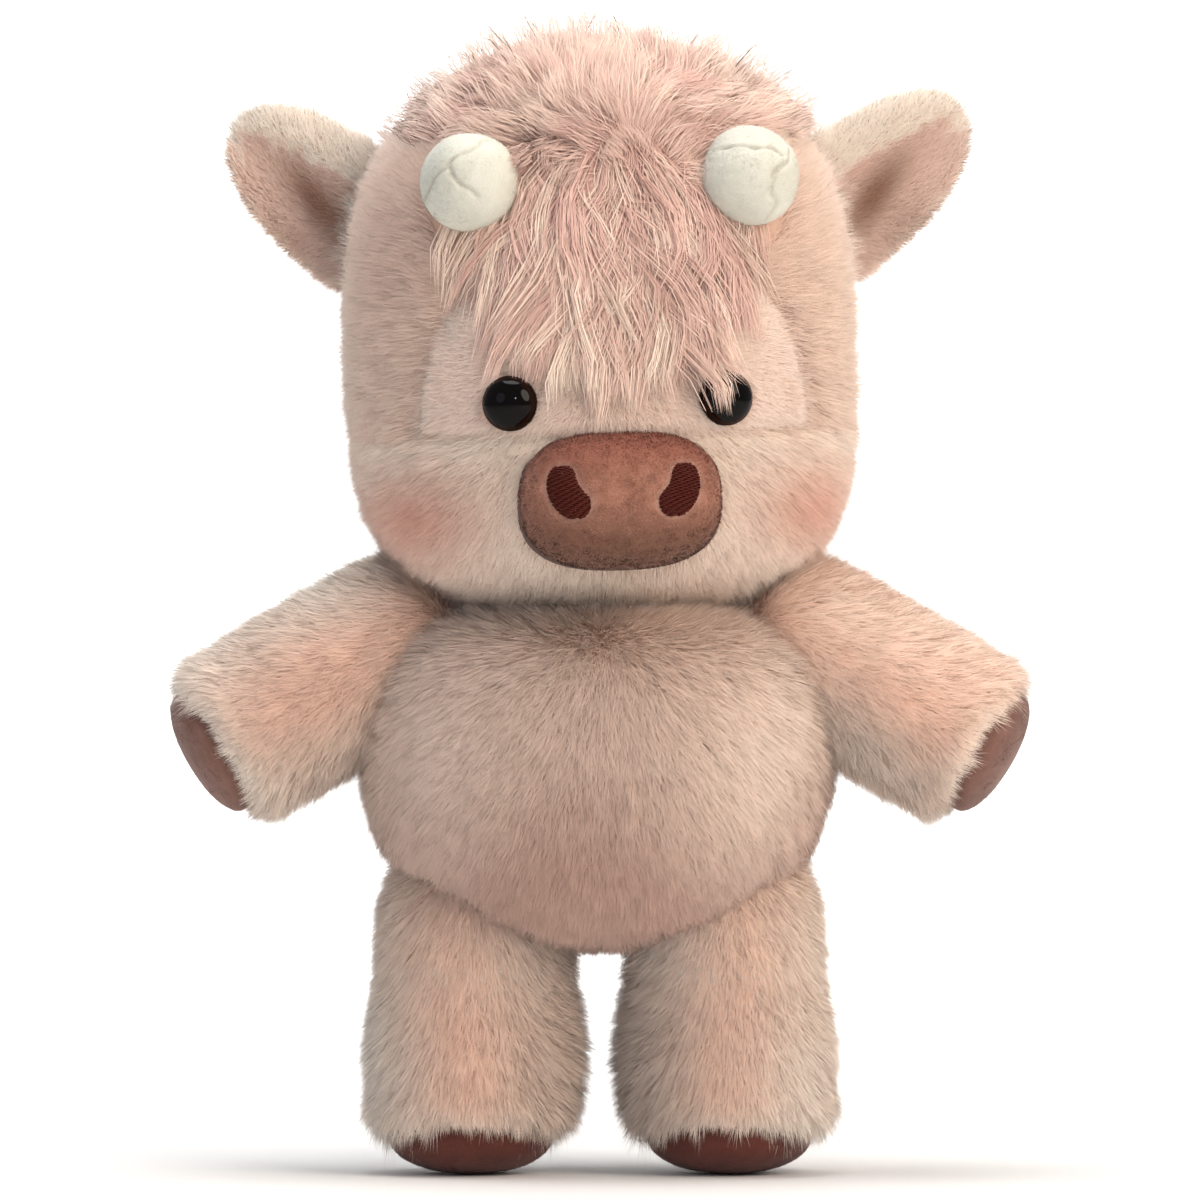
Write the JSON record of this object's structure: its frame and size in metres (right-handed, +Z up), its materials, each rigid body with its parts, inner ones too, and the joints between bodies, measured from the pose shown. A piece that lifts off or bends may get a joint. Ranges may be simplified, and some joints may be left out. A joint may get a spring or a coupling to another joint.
{
  "type": "plush calf toy",
  "caption": "Standing plush calf with horns, leaf ears, a long forelock and a broad snout, sewn from long-pile plush; its head, arms, legs and ears move on their seams.",
  "frame": {"origin": "on the floor, at the middle of the object's box seen from above", "axes": "+Z up through the crown; the toy faces -Y; +X towards the toy's left hand"},
  "size_m": [0.2248, 0.121, 0.295],
  "materials": {
    "cream_plush": "matte",
    "short_plush": "matte",
    "mauve_plush": "matte",
    "ear_velboa": "matte",
    "snout_velboa": "matte",
    "nostril_thread": "satin",
    "hand_velboa": "matte",
    "foot_velboa": "matte",
    "horn_velboa": "matte",
    "eye_plastic": "gloss",
    "washer_plastic": "matte",
    "fibre": "matte",
    "pellet_bag": "matte"
  },
  "bodies": {
    "torso": {"body_panel_left": "cream_plush", "body_panel_right": "cream_plush", "body_fill": "fibre", "seat_pellets": "pellet_bag"},
    "head": {"head_back": "cream_plush", "eye_mask": "short_plush", "muzzle_panel": "cream_plush", "crown_panel": "mauve_plush", "head_fill": "fibre", "snout_patch": "snout_velboa", "eye_left": "eye_plastic", "eye_right": "eye_plastic", "eye_washer_left": "washer_plastic", "eye_washer_right": "washer_plastic", "horn_left": "horn_velboa", "horn_right": "horn_velboa", "horn_fill_left": "fibre", "horn_fill_right": "fibre", "nostril_left": "nostril_thread", "nostril_right": "nostril_thread"},
    "ear_left": {"ear_outer_left": "cream_plush", "ear_lining_left": "ear_velboa"},
    "arm_left": {"arm_skin_left": "cream_plush", "arm_fill_left": "fibre", "hand_pad_left": "hand_velboa"},
    "leg_left": {"leg_skin_left": "cream_plush", "leg_fill_left": "fibre", "foot_pad_left": "foot_velboa", "foot_pellets_left": "pellet_bag"},
    "ear_right": {"ear_outer_right": "cream_plush", "ear_lining_right": "ear_velboa"},
    "arm_right": {"arm_skin_right": "cream_plush", "arm_fill_right": "fibre", "hand_pad_right": "hand_velboa"},
    "leg_right": {"leg_skin_right": "cream_plush", "leg_fill_right": "fibre", "foot_pad_right": "foot_velboa", "foot_pellets_right": "pellet_bag"}
  },
  "joints": [
    {"name": "neck_twist", "type": "hinge", "parent": "torso", "child": "head", "pos_m": [0, 0.0065, 0.15], "axis": [0, 0, 1], "range_deg": [-20, 20], "stiffness_Nm_per_rad": 0.4},
    {"name": "shoulder_left", "type": "hinge", "parent": "torso", "child": "arm_left", "pos_m": [0.063, 0.0035, 0.133], "axis": [0, -1, 0], "range_deg": [-12, 35], "stiffness_Nm_per_rad": 0.3},
    {"name": "hip_left", "type": "hinge", "parent": "torso", "child": "leg_left", "pos_m": [0.0338, 0.0065, 0.054], "axis": [-1, 0, 0], "range_deg": [-15, 25], "stiffness_Nm_per_rad": 1.5},
    {"name": "ear_fold_left", "type": "hinge", "parent": "head", "child": "ear_left", "pos_m": [0.06441, 0.01565, 0.25331], "axis": [0.2962, 0.0212, -0.9549], "range_deg": [-15, 15], "stiffness_Nm_per_rad": 0.05},
    {"name": "shoulder_right", "type": "hinge", "parent": "torso", "child": "arm_right", "pos_m": [-0.063, 0.0035, 0.133], "axis": [0, 1, 0], "range_deg": [-12, 35], "stiffness_Nm_per_rad": 0.3},
    {"name": "hip_right", "type": "hinge", "parent": "torso", "child": "leg_right", "pos_m": [-0.0338, 0.0065, 0.054], "axis": [-1, 0, 0], "range_deg": [-15, 25], "stiffness_Nm_per_rad": 1.5},
    {"name": "ear_fold_right", "type": "hinge", "parent": "head", "child": "ear_right", "pos_m": [-0.06666, 0.00533, 0.24965], "axis": [0.2424, 0.0212, 0.9699], "range_deg": [-15, 15], "stiffness_Nm_per_rad": 0.05}
  ]
}
